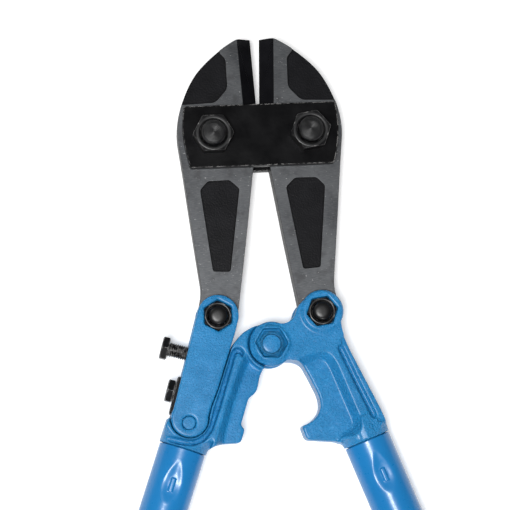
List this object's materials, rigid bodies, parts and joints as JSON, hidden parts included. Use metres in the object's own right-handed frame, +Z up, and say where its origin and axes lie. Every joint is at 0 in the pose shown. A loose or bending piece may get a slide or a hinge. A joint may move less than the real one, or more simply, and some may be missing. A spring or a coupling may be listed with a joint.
{
  "type": "bolt cutters",
  "caption": "Long-handled compound-lever bolt cutters with forged jaws in black side plates, blue lever castings, an adjusting link and tubular handles.",
  "frame": {"origin": "middle of the underside of the object's box, as it lies flat with the handles part open", "axes": "+Y from the handles to the jaws, along the tool's middle line; +Z up, out of the face with the nuts; +X towards the handle without the adjusting link"},
  "size_m": [0.5856, 0.8658, 0.0578],
  "materials": {
    "blue_forging": "textured blue coat over a forging, satin",
    "blue_tube": "smooth blue coat, semi-gloss",
    "blade_steel": "ground alloy steel with blackened panels",
    "black_steel": "black oxide steel, oiled",
    "grip": "matt black moulded grip"
  },
  "bodies": {
    "left_lever": {"left_casting": "blue_forging", "left_tube": "blue_tube", "left_grip": "grip", "link_pin": "blue_forging", "lock_plate": "black_steel", "lock_screw": "black_steel"},
    "link": {"adjusting_link": "blue_forging", "left_tail_bolt": "black_steel", "left_tail_nut": "black_steel"},
    "adjuster": {"adjusting_screw": "black_steel"},
    "left_jaw": {"left_blade": "blade_steel"},
    "head": {"front_plate": "black_steel", "rear_plate": "black_steel", "left_blade_bolt": "black_steel", "left_blade_nut": "black_steel", "right_blade_bolt": "black_steel", "right_blade_nut": "black_steel"},
    "right_jaw": {"right_blade": "blade_steel"},
    "right_lever": {"right_casting": "blue_forging", "right_tube": "blue_tube", "right_grip": "grip", "centre_bolt": "blue_forging", "centre_nut": "blue_forging", "right_tail_bolt": "black_steel", "right_tail_nut": "black_steel"}
  },
  "joints": [
    {"name": "handle_pivot", "type": "hinge", "parent": "left_lever", "child": "right_lever", "pos_m": [0, 0.21862, 0.0263], "axis": [0, 0, 1], "range_deg": [-37.4, 34]},
    {"name": "link_adjust", "type": "hinge", "parent": "left_lever", "child": "link", "pos_m": [-0.05883, 0.16743, 0.0263], "axis": [0, 0, 1], "range_deg": [-0.4, 0.8]},
    {"name": "adjuster_travel", "type": "slide", "parent": "link", "child": "adjuster", "axis": [0.9588, -0.284, 0], "range_m": [-0.0005, 0.001]},
    {"name": "left_jaw_pivot", "type": "hinge", "parent": "link", "child": "left_jaw", "pos_m": [-0.03573, 0.23933, 0.0263], "axis": [0, 0, 1], "range_deg": [-21.6, 19.7]},
    {"name": "head_pivot", "type": "hinge", "parent": "left_jaw", "child": "head", "pos_m": [-0.0334, 0.36351, 0.0263], "axis": [0, 0, 1], "range_deg": [-2.5, 2.7]},
    {"name": "right_jaw_pivot", "type": "hinge", "parent": "head", "child": "right_jaw", "pos_m": [0.0334, 0.36351, 0.0263], "axis": [0, 0, 1], "range_deg": [-2.5, 2.7]}
  ],
  "couplings": [
    {"joint": "left_jaw_pivot", "follows": "handle_pivot", "ratio": 0.56952},
    {"joint": "head_pivot", "follows": "handle_pivot", "ratio": -0.069519},
    {"joint": "right_jaw_pivot", "follows": "handle_pivot", "ratio": -0.069519},
    {"joint": "adjuster_travel", "follows": "link_adjust", "m_per_rad": 0.048}
  ]
}
